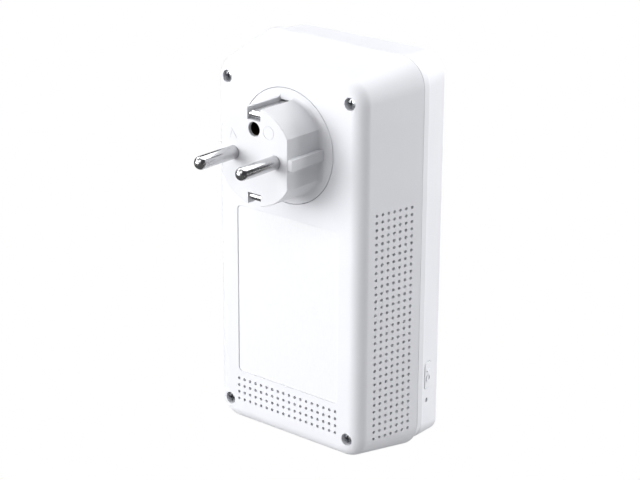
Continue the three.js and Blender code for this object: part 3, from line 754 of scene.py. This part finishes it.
def jack_contacts(name, x):
    """Eight sprung contact wires that slope away from their comb towards the jack's back."""
    high = JACK_MOUTH["y"][1]
    made = None
    for middle in contact_places(x):
        path = [(high - 0.45, -112.2), (high - 0.6, -111.0), (high - 1.3, -108.6)]
        path += [(high - 2.6, -103.4), (high - 2.7, -102.4)]
        section = rounded(middle - 0.17, middle + 0.17, -0.12, 0.12, 0.08, 2)
        wire = swept(name, path, section)
        made = wire if made is None else combined(made, ("UNION", [wire]))
    return made


back = on_body(back_shell(), "case", "case_white", "back_shell")
front = on_body(front_shell(), "case", "case_white", "front_shell")
plug = on_body(plug_body(), "case", "plug_white", "plug_body", limit=20)
pins = [
    on_body(plug_pin("plug_pin_left_turned", -PIN_X), "case", "nickel", "plug_pin_left"),
    on_body(plug_pin("plug_pin_right_turned", PIN_X), "case", "nickel", "plug_pin_right"),
]
strip = on_body(earth_bracket(), "case", "nickel", "earth_bracket")
sleeve = on_body(earth_sleeve(), "case", "brass", "earth_sleeve")
case_screws = [
    on_body(screw(f"case_screw_{i}_cross_head", spot), "case", "steel", f"case_screw_{i}")
    for i, spot in enumerate(SCREW_SPOTS, 1)
]
button = on_body(side_button(), "side_button", "case_white", "side_button")
icon = on_body(button_icon(), "side_button", "case_white")

label = on_body(blank_label(), "case", "label", "rating_label")
light_pipes = [
    on_body(light_pipe(f"light_pipe_{i + 1}_turned", x), "case", "light_pipe", f"light_pipe_{i + 1}")
    for i, x in enumerate(LIGHT_X)
]
jacks = []
for i, x in enumerate((-JACK["x"], JACK["x"]), 1):
    shell = on_body(jack_shell(f"jack_{i}_shell", x), "case", "can", f"network_jack_{i}")
    insert = on_body(jack_insert(f"jack_{i}_insert", x), "case", "black_plastic")
    contacts = on_body(jack_contacts(f"jack_{i}_contacts", x), "case", "brass")
    jacks.append((shell, insert, contacts))

# ---------- camera ----------
camera_data = bpy.data.cameras.new("camera")
camera_data.lens = 112.01
camera_data.sensor_width = 36
camera_data.clip_start = 0.01
camera = bpy.data.objects.new("camera", camera_data)
collection.objects.link(camera)
camera.location = (-0.43783, 0.48833, 0.20592)
camera.rotation_euler = [math.radians(a) for a in (70.187, -0.2675, -140.0225)]
bpy.context.scene.camera = camera

# ---------- materials ----------
class Shader:
    """A Principled material with helpers that add procedural detail to it."""

    def __init__(self, name, roughness, metallic=0.0, **sockets):
        self.material = bpy.data.materials.new(name)
        self.material.use_nodes = True
        self.nodes = self.material.node_tree.nodes
        self.links = self.material.node_tree.links
        self.surface = self.nodes["Principled BSDF"]
        self.surface.inputs["Roughness"].default_value = roughness
        self.surface.inputs["Metallic"].default_value = metallic
        for socket, value in sockets.items():
            self.surface.inputs[socket.replace("_", " ")].default_value = value
        self.place = self.nodes.new("ShaderNodeTexCoord").outputs["Object"]

    def node(self, kind, values=None, **settings):
        made = self.nodes.new("ShaderNode" + kind)
        for key, value in settings.items():
            setattr(made, key, value)
        for key, value in (values or {}).items():
            if isinstance(value, bpy.types.NodeSocket):
                self.links.new(value, made.inputs[key])
            else:
                made.inputs[key].default_value = value
        return made

    def stretched(self, scale):
        return self.node("Mapping", {"Vector": self.place, "Scale": scale}).outputs["Vector"]

    def noise(self, scale, detail=2.0, place=None, roughness=0.5):
        values = {"Scale": scale, "Detail": detail, "Roughness": roughness}
        return self.node("TexNoise", {"Vector": place or self.place, **values}).outputs["Fac"]

    def bands(self, scale, axis, place=None, distortion=0.0):
        values = {"Vector": place or self.place, "Scale": scale, "Distortion": distortion}
        made = self.node("TexWave", values, bands_direction=axis, wave_profile="SIN")
        return made.outputs["Fac"]

    def ranged(self, value, low, high, start=0.3, end=0.7):
        """Value from start to end, spread over low to high."""
        limits = {"Value": value, "From Min": start, "From Max": end, "To Min": low, "To Max": high}
        return self.node("MapRange", limits).outputs["Result"]

    def blend(self, factor, first, second):
        made = self.node("Mix", data_type="RGBA")
        self.links.new(factor, made.inputs["Factor"])
        for socket, colour in ((made.inputs[6], first), (made.inputs[7], second)):
            if isinstance(colour, bpy.types.NodeSocket):
                self.links.new(colour, socket)
            else:
                socket.default_value = (*colour, 1)
        return made.outputs[2]

    def colour(self, output):
        self.links.new(output, self.surface.inputs["Base Color"])

    def rough(self, output):
        self.links.new(output, self.surface.inputs["Roughness"])

    def bump(self, *layers):
        """Layers of (height, strength, depth in metres), laid over each other."""
        normal = None
        for height, strength, depth in layers:
            values = {"Height": height, "Strength": strength, "Distance": depth}
            if normal is not None:
                values["Normal"] = normal
            normal = self.node("Bump", values).outputs["Normal"]
        self.links.new(normal, self.surface.inputs["Normal"])


def shade(colour, factor):
    return tuple(min(c * factor, 1.0) for c in colour)


def moulded(name, colour, roughness, spread=0.02, grain=3600, strength=0.12, **sockets):
    """Moulded plastic: faint flow marks in its colour, and a fine spark-eroded grain."""
    shader = Shader(name, roughness, **sockets)
    flow = shader.noise(22, 3)
    skin = shader.noise(grain, 3)
    darker, lighter = shade(colour, 1 - spread), shade(colour, 1 + spread)
    shader.colour(shader.blend(shader.ranged(flow, 0, 1), darker, lighter))
    shader.rough(shader.ranged(shader.noise(160, 4), roughness - 0.05, roughness + 0.05))
    shader.bump((skin, strength, 0.00003), (shader.noise(90, 2), 0.05, 0.0001))
    return shader.material


def metal(name, colour, roughness, stretch=(1, 1, 1), spread=0.06, strength=0.1):
    """Bare or plated metal with drawn or rolled streaks and small tarnish clouds."""
    shader = Shader(name, roughness, 1.0)
    streaks = shader.noise(900, 4, shader.stretched(stretch), 0.6)
    clouds = shader.noise(140, 3)
    darker, lighter = shade(colour, 1 - spread), shade(colour, 1 + spread)
    tint = shader.blend(shader.ranged(streaks, 0, 1), darker, lighter)
    shader.colour(shader.blend(shader.ranged(clouds, 0, 0.35, 0.5, 0.8), tint, shade(colour, 0.86)))
    shader.rough(shader.ranged(streaks, roughness * 0.8, roughness * 1.25))
    shader.bump((streaks, strength, 0.00002))
    return shader.material


def winding(name, light, dark, scale, axis, roughness=0.4, metallic=0.0):
    """Close turns of wire or tape."""
    shader = Shader(name, roughness, metallic)
    turns = shader.bands(scale, axis, distortion=0.6)
    shader.colour(shader.blend(shader.ranged(turns, 0, 1, 0.1, 0.75), dark, light))
    shader.rough(shader.ranged(shader.noise(700, 3), roughness - 0.08, roughness + 0.08))
    shader.bump((turns, 0.6, 0.0002), (shader.noise(2500, 2), 0.1, 0.00002))
    return shader.material


def circuit_board(name):
    """Solder mask over copper tracks, with lighter glass weave at its edges."""
    shader = Shader(name, 0.4, Coat_Weight=0.3, Coat_Roughness=0.2)
    mask = (0.012, 0.11, 0.045)
    track = (0.03, 0.2, 0.075)
    across = shader.ranged(shader.bands(130, "X", distortion=1.5), 0, 1, 0.78, 0.86)
    along = shader.ranged(shader.bands(110, "Z", distortion=1.2), 0, 1, 0.8, 0.88)
    areas = shader.ranged(shader.noise(60, 1), 0, 1, 0.46, 0.54)
    tracks = shader.node("Mix", {"Factor": areas, "A": across, "B": along}).outputs["Result"]
    shader.colour(shader.blend(tracks, mask, track))
    shader.rough(shader.ranged(shader.noise(500, 3), 0.34, 0.48))
    shader.bump((tracks, 0.5, 0.00004), (shader.noise(1800, 2), 0.1, 0.00002))
    return shader.material


def paper(name, colour):
    """Blank printed label: matt coated stock with a faint fibre."""
    shader = Shader(name, 0.5, Specular_IOR_Level=0.15)
    fibre = shader.noise(1500, 4, shader.stretched((1, 1, 0.35)))
    shader.colour(shader.blend(shader.ranged(fibre, 0, 1), shade(colour, 0.985), shade(colour, 1.01)))
    shader.rough(shader.ranged(shader.noise(300, 3), 0.44, 0.56))
    shader.bump((fibre, 0.08, 0.00002))
    return shader.material


def clear_plastic(name, colour, roughness):
    """Slightly cloudy clear moulding."""
    shader = Shader(name, roughness, Transmission_Weight=0.6, IOR=1.49)
    clouds = shader.noise(300, 3)
    shader.colour(shader.blend(shader.ranged(clouds, 0, 1), shade(colour, 0.96), colour))
    shader.rough(shader.ranged(clouds, roughness, roughness + 0.1))
    return shader.material


case_white = moulded("case_white", (0.735, 0.743, 0.778), 0.42, Specular_IOR_Level=0.15)
plug_white = moulded(
    "plug_white", (0.715, 0.722, 0.752), 0.36, grain=5200, strength=0.08, Specular_IOR_Level=0.15
)
nickel = metal("nickel_plate", (0.55, 0.55, 0.56), 0.23, (1, 5, 1), 0.04, 0.002)
strip_nickel = metal("strip_nickel", (0.6, 0.6, 0.61), 0.22, (1, 0.05, 1))
# Painted shade: the earth sleeve's near-black colour stands in for the shade deep inside the earth hole.
painted_shade_sleeve_metal = metal("painted_shade_sleeve", (0.06, 0.052, 0.04), 0.5, (1, 20, 1), 0.15)
steel = metal("dark_steel", (0.42, 0.43, 0.45), 0.3, (1, 6, 1), 0.12)
tin = metal("tinned_can", (0.62, 0.63, 0.65), 0.3, (1, 1, 0.08))
gold = metal("gold_contact", (0.83, 0.62, 0.28), 0.22, (1, 1, 0.1))
aluminium = metal("aluminium_sheet", (0.72, 0.73, 0.75), 0.32, (0.06, 1, 1))
label_paper = paper("label_paper", (0.75, 0.757, 0.775))
board_green = circuit_board("board_green")
black_plastic = moulded("black_plastic", (0.02, 0.02, 0.022), 0.45, 0.15, 2600, 0.2)
insulation = moulded("insulation_film", (0.74, 0.71, 0.6), 0.5, 0.05, 900, 0.1)
ferrite = moulded("ferrite", (0.045, 0.046, 0.05), 0.62, 0.25, 1700, 0.5)
tape = winding("winding_tape", (0.75, 0.5, 0.08), (0.5, 0.3, 0.04), 90, "Z", 0.42)
copper_turns = winding("copper_turns", (0.62, 0.26, 0.1), (0.2, 0.06, 0.02), 260, "X", 0.3, 0.8)
sleeve_blue = moulded("sleeve_blue", (0.02, 0.045, 0.13), 0.32, 0.12, 700, 0.1)
sleeve_black = moulded("sleeve_black", (0.02, 0.022, 0.028), 0.32, 0.12, 700, 0.1)
film_yellow = moulded("film_yellow", (0.72, 0.42, 0.05), 0.4, 0.05, 1400, 0.12)
fuse_ceramic = moulded("fuse_ceramic", (0.6, 0.56, 0.45), 0.4, 0.06, 1900, 0.15)
varistor_blue = moulded("varistor_blue", (0.03, 0.12, 0.36), 0.35, 0.1, 800, 0.3)
clear = clear_plastic("light_pipe_clear", (0.9, 0.93, 0.95), 0.12)
led_resin = moulded("led_resin", (0.85, 0.82, 0.55), 0.25, 0.04, 900, 0.05)
grey_plastic = moulded("plunger_grey", (0.6, 0.61, 0.62), 0.4, 0.05)
wire_brown = moulded("wire_brown", (0.16, 0.055, 0.02), 0.42, 0.08, 1500, 0.12)
wire_blue = moulded("wire_blue", (0.02, 0.1, 0.4), 0.42, 0.08, 1500, 0.12)


def striped_wire(name):
    """Earth wire: green insulation with yellow stripes."""
    shader = Shader(name, 0.42)
    stripe = shader.ranged(shader.bands(300, "X"), 0, 1, 0.45, 0.55)
    shader.colour(shader.blend(stripe, (0.03, 0.22, 0.05), (0.72, 0.62, 0.04)))
    shader.rough(shader.ranged(shader.noise(500, 3), 0.36, 0.48))
    shader.bump((shader.noise(1500, 2), 0.12, 0.00003))
    return shader.material


wire_earth = striped_wire("wire_earth")


def paint(piece, material):
    piece.data.materials.clear()
    piece.data.materials.append(material)


for piece in (back, front, button, icon):
    paint(piece, case_white)
paint(plug, plug_white)
for piece in pins:
    paint(piece, nickel)
paint(strip, strip_nickel)
# The earth sleeve carries the near-black painted shade.
paint(sleeve, painted_shade_sleeve_metal)
for piece in case_screws:
    paint(piece, steel)
paint(label, label_paper)
for piece in light_pipes:
    paint(piece, clear)
for shell, insert, contacts in jacks:
    paint(shell, tin)
    paint(insert, black_plastic)
    paint(contacts, gold)

CARRIED_OVER = {
    "main_board": board_green,
    "power_board": board_green,
    "transformer_core": ferrite,
    "transformer_winding": tape,
    "bulk_capacitor": sleeve_blue,
    "output_capacitor": sleeve_black,
    "x_capacitor": film_yellow,
    "line_choke": copper_turns,
    "line_fuse": fuse_ceramic,
    "varistor": varistor_blue,
    "bridge_rectifier": black_plastic,
    "coupling_transformer": black_plastic,
    "powerline_shield": tin,
    "radio_shield": tin,
    "network_chip": black_plastic,
    "heat_spreader": aluminium,
    "insulation_sheet": insulation,
    "board_link": black_plastic,
    "antenna_left": board_green,
    "antenna_right": board_green,
    "side_switch_body": black_plastic,
    "reset_switch_body": black_plastic,
    "side_switch_plunger": grey_plastic,
    "reset_plunger": grey_plastic,
    "live_wire": wire_brown,
    "neutral_wire": wire_blue,
    "earth_wire": wire_earth,
}
CARRIED_OVER.update({f"status_led_{i}": led_resin for i in (1, 2, 3)})
CARRIED_OVER.update({f"main_board_screw_{i}": steel for i in (1, 2, 3, 4)})
CARRIED_OVER.update({f"power_board_screw_{i}": steel for i in (1, 2)})
for name, material in CARRIED_OVER.items():
    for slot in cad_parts[name].material_slots:
        slot.material = material

# ---------- floor, world and lights ----------
bpy.context.scene.view_settings.view_transform = "Standard"
floor_mesh = bpy.data.meshes.new("floor")
corners = [(-3, -3), (3, -3), (3, 3), (-3, 3)]
floor_mesh.from_pydata([(x, y, FLOOR_Z) for x, y in corners], [], [(0, 1, 2, 3)])
floor = bpy.data.objects.new("floor", floor_mesh)
collection.objects.link(floor)


def stage_shader(nodes, links, colour, bounced, mirrored):
    """White where it is seen directly, and other strengths for diffuse light and reflections."""

    def glow(tint, strength):
        made = nodes.new("ShaderNodeEmission")
        made.inputs["Color"].default_value = (*tint, 1)
        made.inputs["Strength"].default_value = strength
        return made

    def either(ray, otherwise, chosen):
        mixed = nodes.new("ShaderNodeMixShader")
        links.new(path.outputs[ray], mixed.inputs["Fac"])
        links.new(otherwise.outputs[0], mixed.inputs[1])
        links.new(chosen.outputs[0], mixed.inputs[2])
        return mixed

    path = nodes.new("ShaderNodeLightPath")
    unseen = either("Is Glossy Ray", glow(colour, bounced), glow(colour, mirrored))
    return either("Is Camera Ray", unseen, glow((1, 1, 1), 1.0))


floor_paper = bpy.data.materials.new("floor_paper")
floor_paper.use_nodes = True
nodes, links = floor_paper.node_tree.nodes, floor_paper.node_tree.links
nodes.remove(nodes["Principled BSDF"])
upper = stage_shader(nodes, links, (1, 1, 1), FLOOR_GLOW, FLOOR_MIRRORED)
side = nodes.new("ShaderNodeNewGeometry")
through = nodes.new("ShaderNodeBsdfTransparent")
faced = nodes.new("ShaderNodeMixShader")
links.new(side.outputs["Backfacing"], faced.inputs["Fac"])
links.new(upper.outputs[0], faced.inputs[1])
links.new(through.outputs[0], faced.inputs[2])
links.new(faced.outputs[0], nodes["Material Output"].inputs["Surface"])
paint(floor, floor_paper)

world = bpy.data.worlds.new("studio")
bpy.context.scene.world = world
world.use_nodes = True
nodes, links = world.node_tree.nodes, world.node_tree.links
nodes.remove(nodes["Background"])
sky = stage_shader(nodes, links, SKY_COLOUR, SKY_GLOW, SKY_MIRRORED)
links.new(sky.outputs[0], nodes["World Output"].inputs["Surface"])


def softbox(name, azimuth, elevation, energy, size, distance=1.3):
    """Square lamp that faces the object; azimuth 0 is on the +Y side and 90 on the +X side."""
    lamp = bpy.data.lights.new(name, "AREA")
    lamp.energy = energy
    lamp.size = size
    made = bpy.data.objects.new(name, lamp)
    collection.objects.link(made)
    a, e = math.radians(azimuth), math.radians(elevation)
    away = Vector((math.sin(a) * math.cos(e), math.cos(a) * math.cos(e), math.sin(e)))
    made.location = Vector((0, -0.03, -0.04)) + away * distance
    made.rotation_euler = away.to_track_quat("Z", "Y").to_euler()
    made.visible_camera = False
    return made


for lamp in LAMPS:
    softbox(*lamp).visible_glossy = lamp[0] != "room_side"  # the pins would lose their dark bands
for lamp in REFLECTED:
    softbox(*lamp).visible_diffuse = False
